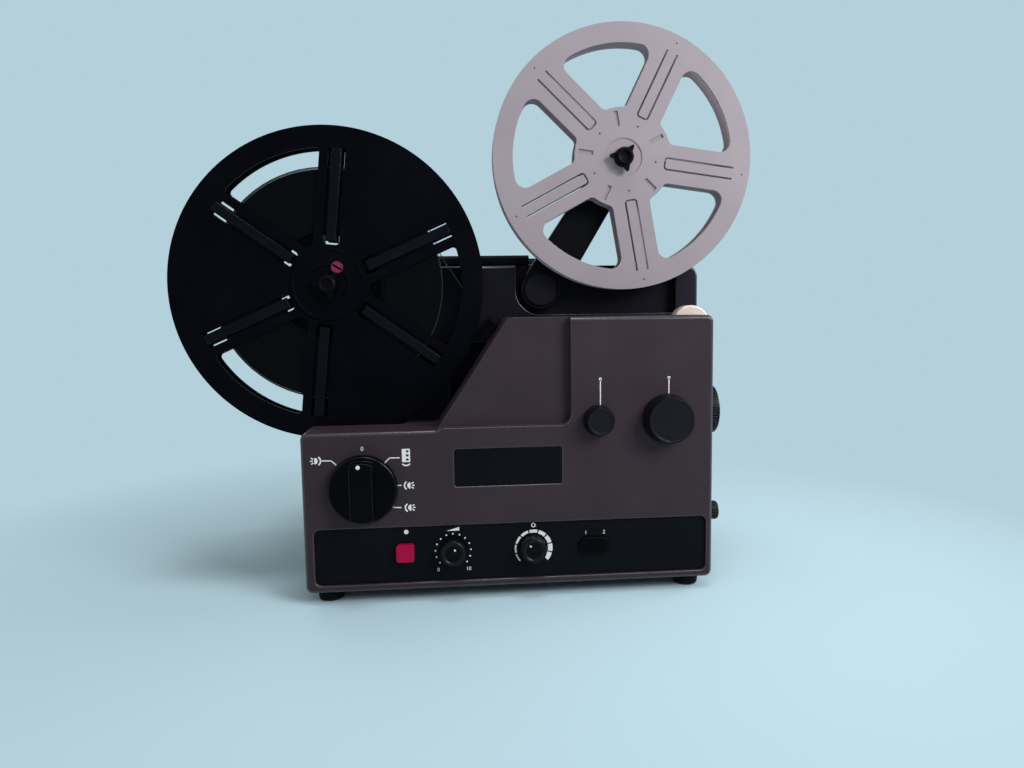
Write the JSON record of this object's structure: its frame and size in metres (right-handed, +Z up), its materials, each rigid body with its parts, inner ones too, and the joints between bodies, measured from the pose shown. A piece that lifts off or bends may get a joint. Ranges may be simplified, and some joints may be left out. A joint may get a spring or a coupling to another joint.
{
  "type": "sound film projector",
  "caption": "Table-top sound film projector for narrow film, with a raised supply arm, a loaded take-up reel, a mode dial and recording controls.",
  "frame": {"origin": "under the middle of the whole projector, on the table top", "axes": "+X to the right as the controls are faced, towards the lens; +Y away from the controls; +Z up"},
  "size_m": [0.394, 0.2024, 0.3802],
  "materials": {
    "housing_black": "fine grained near-black moulded plastic",
    "cover_brown": "fine grained dark brown-grey moulded plastic",
    "panel_black": "smooth blue-black panel",
    "knob_black": "polished black plastic",
    "reel_grey": "light grey moulded polystyrene",
    "reel_black": "polished black polystyrene",
    "film_base": "dark film edges",
    "rubber_black": "moulded black rubber",
    "steel": "turned and plated steel",
    "bronze": "sintered bronze",
    "alloy": "pressed alloy",
    "record_red": "crimson moulded plastic",
    "lens_glass": "coated lens glass",
    "nylon_cream": "cream nylon",
    "iron_core": "laminated iron with windings",
    "board": "phenolic board and bodies"
  },
  "bodies": {
    "root": {"rear_housing": "housing_black", "end_cap": "housing_black", "back_cover": "housing_black", "base_plate": "housing_black", "rubber_feet": "rubber_black", "chassis_plate": "alloy", "front_cover": "cover_brown", "name_plate": "panel_black", "control_panel": "panel_black", "cover_posts": "steel", "cover_screws": "steel", "handle_brackets": "housing_black", "arm_pivot_pin": "housing_black", "shaft_bearings": "bronze", "mode_switch": "board", "control_bodies": "board", "knob_bushes": "bronze", "lens_mount": "alloy", "film_gate": "alloy", "lamp_house": "alloy", "lamp": "lens_glass", "film_guides": "steel", "drive_belts": "rubber_black", "motor": "iron_core", "transformer": "iron_core", "amplifier_board": "board", "speaker": "board", "rear_sockets": "housing_black"},
    "carry_handle": {"carry_handle": "housing_black"},
    "supply_arm": {"arm_shell": "housing_black", "arm_back_plate": "housing_black", "arm_belt": "rubber_black"},
    "pivot_pulley": {"pivot_pulley": "alloy"},
    "supply_reel": {"supply_spindle": "knob_black", "supply_flange_front": "reel_grey", "supply_flange_back": "reel_grey", "supply_hub": "reel_grey"},
    "takeup_reel": {"takeup_spindle": "knob_black", "takeup_flange_front": "reel_black", "takeup_flange_back": "reel_black", "takeup_hub": "reel_black", "film_roll": "film_base", "film_outer_turn": "film_base"},
    "mode_dial": {"mode_dial": "knob_black"},
    "record_button": {"record_button": "record_red"},
    "volume_knob": {"volume_knob": "knob_black"},
    "trick_knob": {"trick_knob": "knob_black"},
    "slide_grip": {"slide_grip": "knob_black"},
    "frame_knob": {"frame_knob": "knob_black"},
    "focus_knob": {"focus_knob": "knob_black"},
    "speed_knob": {"speed_knob": "knob_black"},
    "lens": {"lens_barrel": "alloy", "lens_glass": "lens_glass"},
    "zoom_ring": {"zoom_ring": "knob_black"},
    "shutter": {"shutter": "steel"},
    "inlet_roller": {"inlet_roller": "nylon_cream"},
    "main_shaft": {"main_shaft": "steel"},
    "lower_shaft": {"lower_shaft": "steel"},
    "motor_rotor": {"motor_rotor": "steel"},
    "sound_drum": {"sound_drum": "alloy"}
  },
  "joints": [
    {"name": "handle_lift", "type": "hinge", "parent": "root", "child": "carry_handle", "pos_m": [-0.015, 0.055, 0.2255], "axis": [-1, 0, 0], "range_deg": [0, 100]},
    {"name": "arm_fold", "type": "hinge", "parent": "root", "child": "supply_arm", "pos_m": [0.052, -0.03, 0.203], "axis": [0, 1, 0], "range_deg": [0, 12]},
    {"name": "supply_spin", "type": "hinge", "parent": "supply_arm", "child": "supply_reel", "pos_m": [0.10799, -0.0425, 0.29123], "axis": [0, 1, 0], "continuous": true},
    {"name": "pivot_pulley_spin", "type": "hinge", "parent": "root", "child": "pivot_pulley", "pos_m": [0.052, -0.03, 0.203], "axis": [0, 1, 0], "continuous": true},
    {"name": "takeup_spin", "type": "hinge", "parent": "root", "child": "takeup_reel", "pos_m": [-0.093, -0.0425, 0.208], "axis": [0, 1, 0], "continuous": true},
    {"name": "mode_turn", "type": "hinge", "parent": "root", "child": "mode_dial", "pos_m": [-0.07, -0.085, 0.0765], "axis": [0, 1, 0], "range_deg": [-46, 117]},
    {"name": "record_press", "type": "slide", "parent": "root", "child": "record_button", "axis": [0, 1, 0], "range_m": [0, 0.003], "stiffness_N_per_m": 300, "springref_m": -0.002},
    {"name": "volume_turn", "type": "hinge", "parent": "root", "child": "volume_knob", "pos_m": [-0.0135, -0.083, 0.033], "axis": [0, 1, 0], "range_deg": [-140, 140]},
    {"name": "trick_turn", "type": "hinge", "parent": "root", "child": "trick_knob", "pos_m": [0.039, -0.083, 0.033], "axis": [0, 1, 0], "range_deg": [-140, 140]},
    {"name": "slide_move", "type": "slide", "parent": "root", "child": "slide_grip", "axis": [1, 0, 0], "range_m": [0, 0.007]},
    {"name": "frame_turn", "type": "hinge", "parent": "root", "child": "frame_knob", "pos_m": [0.083, -0.085, 0.1165], "axis": [0, 1, 0], "range_deg": [-60, 60]},
    {"name": "focus_turn", "type": "hinge", "parent": "root", "child": "focus_knob", "pos_m": [0.1285, -0.085, 0.1165], "axis": [0, 1, 0], "range_deg": [-180, 180]},
    {"name": "speed_turn", "type": "hinge", "parent": "root", "child": "speed_knob", "pos_m": [0.16, -0.065, 0.0485], "axis": [1, 0, 0], "range_deg": [0, 60]},
    {"name": "lens_focus", "type": "slide", "parent": "root", "child": "lens", "axis": [1, 0, 0], "range_m": [-0.003, 0.003]},
    {"name": "zoom_turn", "type": "hinge", "parent": "lens", "child": "zoom_ring", "pos_m": [0.17, -0.0425, 0.1165], "axis": [1, 0, 0], "range_deg": [-45, 45]},
    {"name": "inlet_spin", "type": "hinge", "parent": "root", "child": "inlet_roller", "pos_m": [0.1565, -0.0425, 0.1775], "axis": [0, 1, 0], "continuous": true},
    {"name": "main_spin", "type": "hinge", "parent": "root", "child": "main_shaft", "pos_m": [0.081, 0, 0.1505], "axis": [0, 1, 0], "continuous": true},
    {"name": "lower_spin", "type": "hinge", "parent": "root", "child": "lower_shaft", "pos_m": [0.081, 0, 0.0665], "axis": [0, 1, 0], "continuous": true},
    {"name": "shutter_spin", "type": "hinge", "parent": "root", "child": "shutter", "pos_m": [0.085, -0.0425, 0.1005], "axis": [1, 0, 0], "continuous": true},
    {"name": "motor_spin", "type": "hinge", "parent": "root", "child": "motor_rotor", "pos_m": [-0.053, 0, 0.07], "axis": [0, 1, 0], "continuous": true},
    {"name": "drum_spin", "type": "hinge", "parent": "root", "child": "sound_drum", "pos_m": [0.041, 0, 0.0855], "axis": [0, 1, 0], "continuous": true}
  ],
  "couplings": [
    {"joint": "pivot_pulley_spin", "follows": "supply_spin", "ratio": 1},
    {"joint": "focus_turn", "follows": "lens_focus", "rad_per_m": 1047},
    {"joint": "lower_spin", "follows": "main_spin", "ratio": 1},
    {"joint": "shutter_spin", "follows": "main_spin", "ratio": 1},
    {"joint": "motor_spin", "follows": "main_spin", "ratio": 3}
  ]
}
